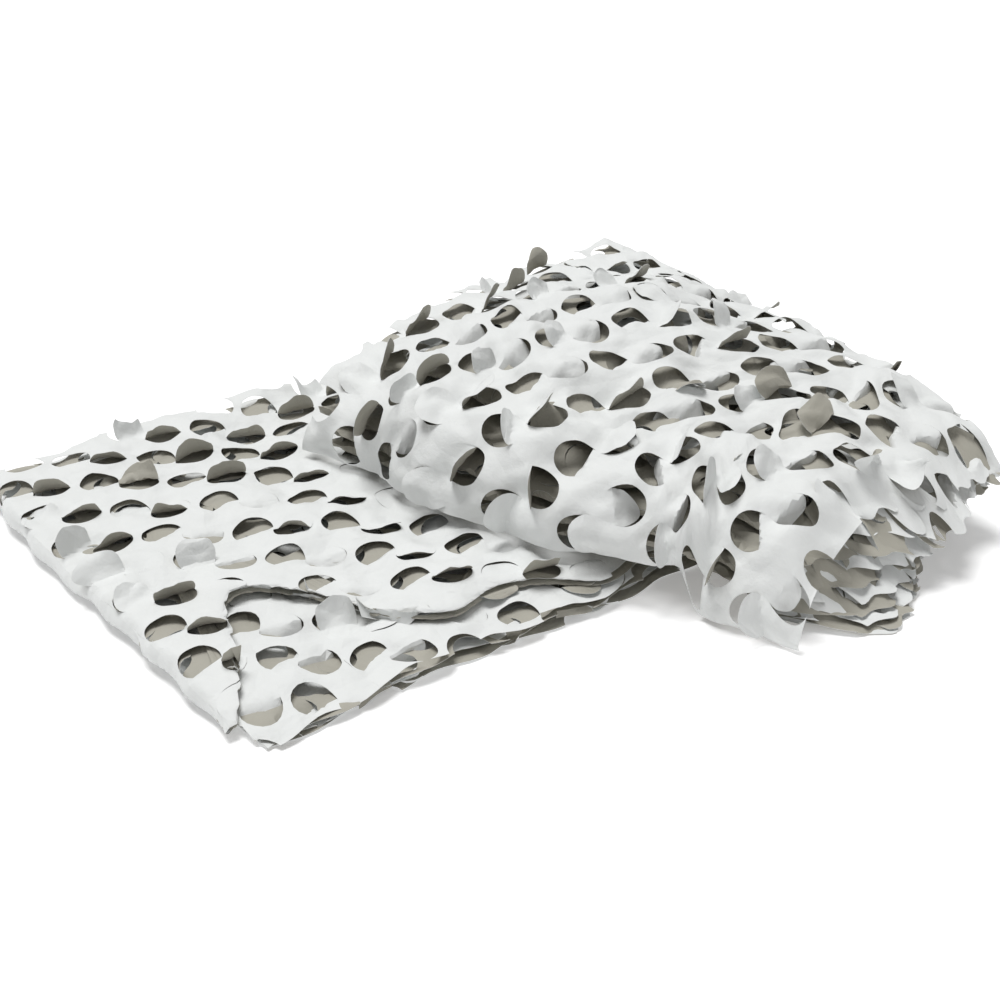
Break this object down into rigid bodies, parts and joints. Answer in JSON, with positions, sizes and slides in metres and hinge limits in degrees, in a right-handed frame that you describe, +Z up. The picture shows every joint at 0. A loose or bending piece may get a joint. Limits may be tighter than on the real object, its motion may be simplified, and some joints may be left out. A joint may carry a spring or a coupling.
{
  "type": "folded camouflage net",
  "caption": "Leaf-cut camouflage net, folded back and forth into a flat lower pack with a thicker pack lying askew on it.",
  "frame": {"origin": "on the ground, under the middle of the whole folded net", "axes": "+X along the lower pack's front edge, towards the upper pack; +Y from the front edge to the back; +Z up"},
  "size_m": [0.8709, 0.7803, 0.1888],
  "materials": {
    "net_cloth": "thin matt white synthetic cloth, warm grey on its other side, leaf-cut all over"
  },
  "bodies": {
    "root": {"net_sheet": "net_cloth"}
  },
  "joints": []
}
